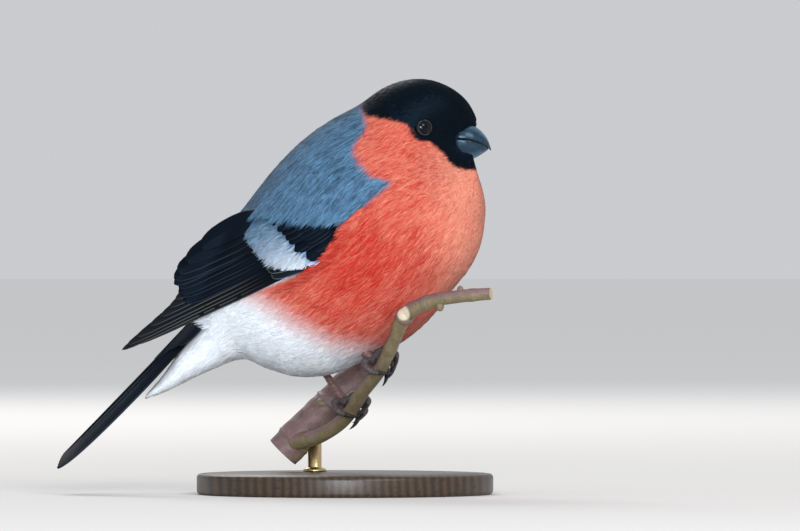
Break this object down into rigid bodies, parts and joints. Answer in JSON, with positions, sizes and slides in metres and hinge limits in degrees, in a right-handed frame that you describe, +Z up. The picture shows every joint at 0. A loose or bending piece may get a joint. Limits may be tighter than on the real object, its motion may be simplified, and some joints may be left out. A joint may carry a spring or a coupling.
{
  "type": "bullfinch",
  "caption": "Life-size still model of a male bullfinch gripping a cut twig that a rod and a round base hold up.",
  "frame": {"origin": "centre of the underside of the stand's round base, on the surface that it stands on", "axes": "+Z up, +X the way the bird faces, +Y towards its left side"},
  "size_m": [0.1267, 0.086, 0.1203],
  "materials": {
    "cap_feathers": "soft black feathers with a faint blue gloss",
    "red_feathers": "soft rose-red feathers",
    "grey_feathers": "soft blue-grey feathers",
    "white_feathers": "soft cold white feathers",
    "flight_feathers": "glossy blue-black feathers",
    "bill": "satin dark horn",
    "eye": "wet dark brown",
    "leg_skin": "scaly brown skin",
    "claw": "dark horn",
    "bark": "thin olive and purple-brown bark",
    "stand_wood": "waxed dark wood",
    "stand_rod": "satin brass"
  },
  "bodies": {
    "root": {"head": "cap_feathers", "neck": "red_feathers", "torso": "red_feathers", "vent": "white_feathers", "tail": "flight_feathers", "wing_right": "flight_feathers", "wing_left": "flight_feathers", "bill_upper": "bill", "bill_lower": "bill", "eye_right": "eye", "eye_left": "eye", "leg_right": "leg_skin", "leg_left": "leg_skin", "foot_right": "leg_skin", "foot_left": "leg_skin", "claw_inner_right": "claw", "claw_middle_right": "claw", "claw_outer_right": "claw", "claw_hind_right": "claw", "claw_inner_left": "claw", "claw_middle_left": "claw", "claw_outer_left": "claw", "claw_hind_left": "claw", "perch": "bark", "stand_base": "stand_wood", "stand_rod": "stand_rod"}
  },
  "joints": []
}
